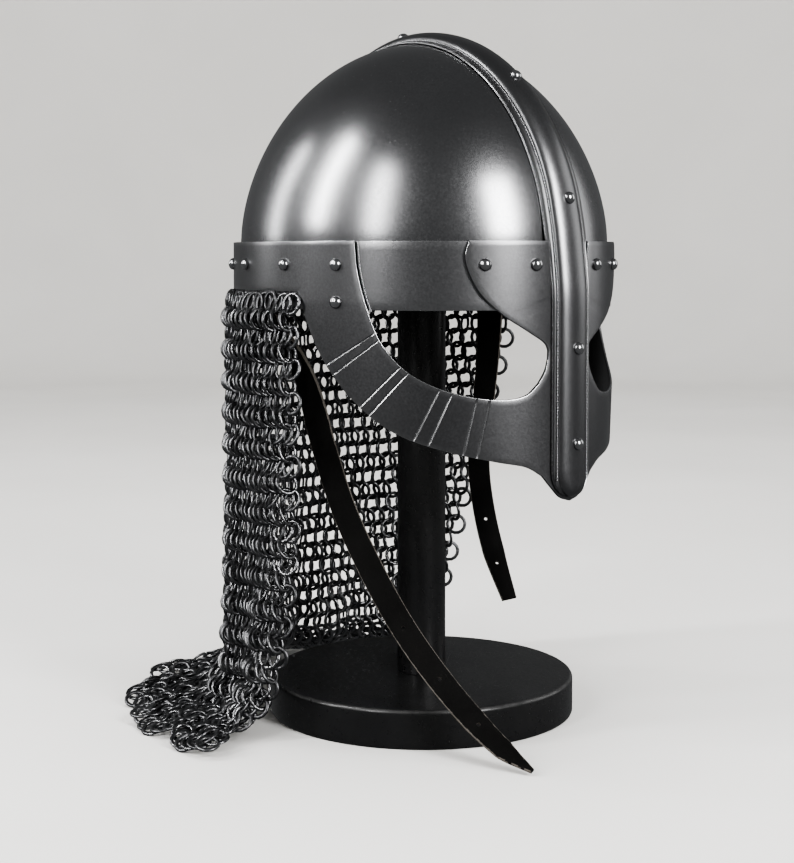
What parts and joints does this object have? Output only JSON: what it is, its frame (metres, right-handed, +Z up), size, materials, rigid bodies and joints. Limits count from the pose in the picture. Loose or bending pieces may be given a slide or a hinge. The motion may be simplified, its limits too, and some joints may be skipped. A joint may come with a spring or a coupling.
{
  "type": "norse iron helmet on a display stand",
  "caption": "Domed iron helmet with a spectacle guard, a ridged comb and nasal, a mail neck curtain and leather chin straps, held on a plain round stand.",
  "frame": {"origin": "centre of the underside of the stand's round base", "axes": "+Z up along the pole, -Y the way the face looks, -X the wearer's right"},
  "size_m": [0.249, 0.2983, 0.3798],
  "materials": {
    "plate_iron": "satin, dark oiled iron",
    "rivet_iron": "worn bright",
    "mail_iron": "dark oiled wire",
    "strap_leather": "black, semi-matt",
    "stand_black": "black satin lacquer"
  },
  "bodies": {
    "root": {"skull": "plate_iron", "brow_band": "plate_iron", "guard": "plate_iron", "comb": "plate_iron", "mail_curtain": "mail_iron", "chin_strap_right": "strap_leather", "chin_strap_left": "strap_leather", "stand_base": "stand_black", "stand_pole": "stand_black", "band_rivet_right_1": "rivet_iron", "band_rivet_right_2": "rivet_iron", "band_rivet_right_3": "rivet_iron", "band_rivet_right_4": "rivet_iron", "band_rivet_right_5": "rivet_iron", "band_rivet_right_6": "rivet_iron", "band_rivet_right_7": "rivet_iron", "band_rivet_right_8": "rivet_iron", "band_rivet_left_1": "rivet_iron", "band_rivet_left_2": "rivet_iron", "band_rivet_left_3": "rivet_iron", "band_rivet_left_4": "rivet_iron", "band_rivet_left_5": "rivet_iron", "band_rivet_left_6": "rivet_iron", "band_rivet_left_7": "rivet_iron", "band_rivet_left_8": "rivet_iron", "cheek_rivet_right": "rivet_iron", "cheek_rivet_left": "rivet_iron", "comb_rivet_1": "rivet_iron", "comb_rivet_2": "rivet_iron", "comb_rivet_3": "rivet_iron", "comb_rivet_4": "rivet_iron", "comb_rivet_5": "rivet_iron", "comb_rivet_6": "rivet_iron", "comb_rivet_7": "rivet_iron"}
  },
  "joints": []
}
